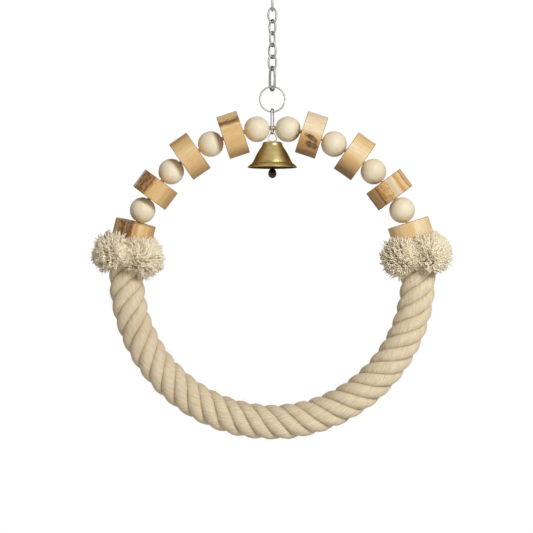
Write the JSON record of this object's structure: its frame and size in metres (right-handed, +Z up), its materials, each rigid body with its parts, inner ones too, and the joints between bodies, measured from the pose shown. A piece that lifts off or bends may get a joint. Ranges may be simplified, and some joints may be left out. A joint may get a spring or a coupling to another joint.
{
  "type": "ring bird swing",
  "caption": "Round rope perch on a wire hoop, with turned beads and cut wood blocks threaded over its top, a brass bell in the middle and a chain to hang it by.",
  "frame": {"origin": "inside top of the quick link, where the hook that holds the swing bears", "axes": "+Z up along the chain, +X to the right across the hoop, -Y towards the viewer"},
  "size_m": [0.203, 0.0394, 0.2811],
  "materials": {
    "chain_steel": "bright plated",
    "hoop_wire": "galvanised",
    "bell_brass": "spun, lightly aged",
    "clapper_iron": "dark",
    "bead_wood": "smooth, sanded",
    "block_wood": "sawn and sanded",
    "rope_cotton": "soft laid cotton",
    "frayed_cotton": "teased yarn"
  },
  "bodies": {
    "quick_link": {"quick_link": "chain_steel"},
    "quick_link_sleeve": {"quick_link_sleeve": "chain_steel"},
    "chain_link_1": {"chain_link_1": "chain_steel"},
    "chain_link_2": {"chain_link_2": "chain_steel"},
    "chain_link_3": {"chain_link_3": "chain_steel"},
    "chain_link_4": {"chain_link_4": "chain_steel"},
    "chain_link_5": {"chain_link_5": "chain_steel"},
    "chain_link_6": {"chain_link_6": "chain_steel"},
    "chain_link_7": {"chain_link_7": "chain_steel"},
    "connecting_link": {"connecting_link": "chain_steel"},
    "split_ring": {"split_ring": "chain_steel"},
    "hanger_link": {"hanger_link": "chain_steel"},
    "hoop": {"core_wire": "hoop_wire", "wire_ferrule": "hoop_wire", "rope_strand_1": "rope_cotton", "rope_strand_2": "rope_cotton", "rope_strand_3": "rope_cotton", "rope_strand_4": "rope_cotton", "frayed_collar_left": "frayed_cotton", "frayed_collar_right": "frayed_cotton"},
    "bell": {"bell_shell": "bell_brass", "bell_loop": "chain_steel"},
    "clapper": {"clapper_wire": "chain_steel", "clapper_bob": "clapper_iron"},
    "bead_left_1": {"bead_left_1": "bead_wood"},
    "block_left_1": {"block_left_1": "block_wood"},
    "bead_left_2": {"bead_left_2": "bead_wood"},
    "block_left_2": {"block_left_2": "block_wood"},
    "bead_left_3": {"bead_left_3": "bead_wood"},
    "block_left_3": {"block_left_3": "block_wood"},
    "bead_left_4": {"bead_left_4": "bead_wood"},
    "block_left_4": {"block_left_4": "block_wood"},
    "bead_right_1": {"bead_right_1": "bead_wood"},
    "block_right_1": {"block_right_1": "block_wood"},
    "bead_right_2": {"bead_right_2": "bead_wood"},
    "block_right_2": {"block_right_2": "block_wood"},
    "bead_right_3": {"bead_right_3": "bead_wood"},
    "block_right_3": {"block_right_3": "block_wood"},
    "bead_right_4": {"bead_right_4": "bead_wood"},
    "block_right_4": {"block_right_4": "block_wood"}
  },
  "joints": [
    {"name": "sleeve_travel", "type": "slide", "parent": "quick_link", "child": "quick_link_sleeve", "axis": [0, 0, 1], "range_m": [-0.0067, 0]},
    {"name": "chain_link_1_swing", "type": "hinge", "parent": "quick_link", "child": "chain_link_1", "pos_m": [0, 0, -0.0244], "axis": [0, 1, 0], "range_deg": [-25, 25]},
    {"name": "chain_link_2_swing", "type": "hinge", "parent": "chain_link_1", "child": "chain_link_2", "pos_m": [0, 0, -0.03047], "axis": [0.9976, 0.0698, 0], "range_deg": [-25, 25]},
    {"name": "chain_link_3_swing", "type": "hinge", "parent": "chain_link_2", "child": "chain_link_3", "pos_m": [0, 0, -0.03717], "axis": [0.0349, 0.9994, 0], "range_deg": [-25, 25]},
    {"name": "chain_link_4_swing", "type": "hinge", "parent": "chain_link_3", "child": "chain_link_4", "pos_m": [0, 0, -0.04387], "axis": [0.9397, 0.342, 0], "range_deg": [-25, 25]},
    {"name": "chain_link_5_swing", "type": "hinge", "parent": "chain_link_4", "child": "chain_link_5", "pos_m": [0, 0, -0.05058], "axis": [0.6947, -0.7193, 0], "range_deg": [-25, 25]},
    {"name": "chain_link_6_swing", "type": "hinge", "parent": "chain_link_5", "child": "chain_link_6", "pos_m": [0, 0, -0.05727], "axis": [0.5299, 0.848, 0], "range_deg": [-25, 25]},
    {"name": "chain_link_7_swing", "type": "hinge", "parent": "chain_link_6", "child": "chain_link_7", "pos_m": [0, 0, -0.06398], "axis": [0.766, -0.6428, 0], "range_deg": [-25, 25]},
    {"name": "connecting_link_swing", "type": "hinge", "parent": "chain_link_7", "child": "connecting_link", "pos_m": [0, 0, -0.07068], "axis": [0.8829, 0.4695, 0], "range_deg": [-25, 25]},
    {"name": "split_ring_swing", "type": "hinge", "parent": "connecting_link", "child": "split_ring", "pos_m": [0, 0, -0.082], "axis": [0.4695, -0.8829, 0], "range_deg": [-20, 20]},
    {"name": "hanger_link_swing", "type": "hinge", "parent": "split_ring", "child": "hanger_link", "pos_m": [0, 0, -0.09425], "axis": [1, 0, 0], "range_deg": [-30, 30]},
    {"name": "hoop_swing", "type": "hinge", "parent": "hanger_link", "child": "hoop", "pos_m": [0, 0, -0.10345], "axis": [1, 0, 0], "range_deg": [-45, 45]},
    {"name": "bell_swing", "type": "hinge", "parent": "hanger_link", "child": "bell", "pos_m": [0, 0, -0.1068], "axis": [0.342, 0.9397, 0], "range_deg": [-9, 9]},
    {"name": "clapper_swing", "type": "hinge", "parent": "bell", "child": "clapper", "pos_m": [0, 0, -0.1146], "axis": [1, 0, 0], "range_deg": [-34, 34]},
    {"name": "bead_left_1_spin", "type": "hinge", "parent": "hoop", "child": "bead_left_1", "pos_m": [-0.00874, 0, -0.10408], "axis": [0.9901, 0, 0.1402], "continuous": true},
    {"name": "block_left_1_spin", "type": "hinge", "parent": "hoop", "child": "block_left_1", "pos_m": [-0.02214, 0, -0.10728], "axis": [0.9498, 0, 0.313], "continuous": true},
    {"name": "bead_left_2_spin", "type": "hinge", "parent": "hoop", "child": "bead_left_2", "pos_m": [-0.0348, 0, -0.11246], "axis": [0.8969, 0, 0.4423], "continuous": true},
    {"name": "block_left_2_spin", "type": "hinge", "parent": "hoop", "child": "block_left_2", "pos_m": [-0.04654, 0, -0.11936], "axis": [0.8217, 0, 0.57], "continuous": true},
    {"name": "bead_left_3_spin", "type": "hinge", "parent": "hoop", "child": "bead_left_3", "pos_m": [-0.05706, 0, -0.12798], "axis": [0.7195, 0, 0.6945], "continuous": true},
    {"name": "block_left_3_spin", "type": "hinge", "parent": "hoop", "child": "block_left_3", "pos_m": [-0.06603, 0, -0.13819], "axis": [0.5955, 0, 0.8033], "continuous": true},
    {"name": "bead_left_4_spin", "type": "hinge", "parent": "hoop", "child": "bead_left_4", "pos_m": [-0.0732, 0, -0.14975], "axis": [0.455, 0, 0.8905], "continuous": true},
    {"name": "block_left_4_spin", "type": "hinge", "parent": "hoop", "child": "block_left_4", "pos_m": [-0.07836, 0, -0.16233], "axis": [0.2428, -0.061, 0.9682], "continuous": true},
    {"name": "bead_right_1_spin", "type": "hinge", "parent": "hoop", "child": "bead_right_1", "pos_m": [0.00874, 0, -0.10408], "axis": [0.9901, 0, -0.1402], "continuous": true},
    {"name": "block_right_1_spin", "type": "hinge", "parent": "hoop", "child": "block_right_1", "pos_m": [0.02214, 0, -0.10728], "axis": [0.9498, 0, -0.313], "continuous": true},
    {"name": "bead_right_2_spin", "type": "hinge", "parent": "hoop", "child": "bead_right_2", "pos_m": [0.0348, 0, -0.11246], "axis": [0.8969, 0, -0.4423], "continuous": true},
    {"name": "block_right_2_spin", "type": "hinge", "parent": "hoop", "child": "block_right_2", "pos_m": [0.04654, 0, -0.11936], "axis": [0.8217, 0, -0.57], "continuous": true},
    {"name": "bead_right_3_spin", "type": "hinge", "parent": "hoop", "child": "bead_right_3", "pos_m": [0.05706, 0, -0.12798], "axis": [0.7195, 0, -0.6945], "continuous": true},
    {"name": "block_right_3_spin", "type": "hinge", "parent": "hoop", "child": "block_right_3", "pos_m": [0.06603, 0, -0.13819], "axis": [0.5955, 0, -0.8033], "continuous": true},
    {"name": "bead_right_4_spin", "type": "hinge", "parent": "hoop", "child": "bead_right_4", "pos_m": [0.0732, 0, -0.14975], "axis": [0.455, 0, -0.8905], "continuous": true},
    {"name": "block_right_4_spin", "type": "hinge", "parent": "hoop", "child": "block_right_4", "pos_m": [0.07836, 0, -0.16233], "axis": [0.302, 0, -0.9533], "continuous": true}
  ]
}
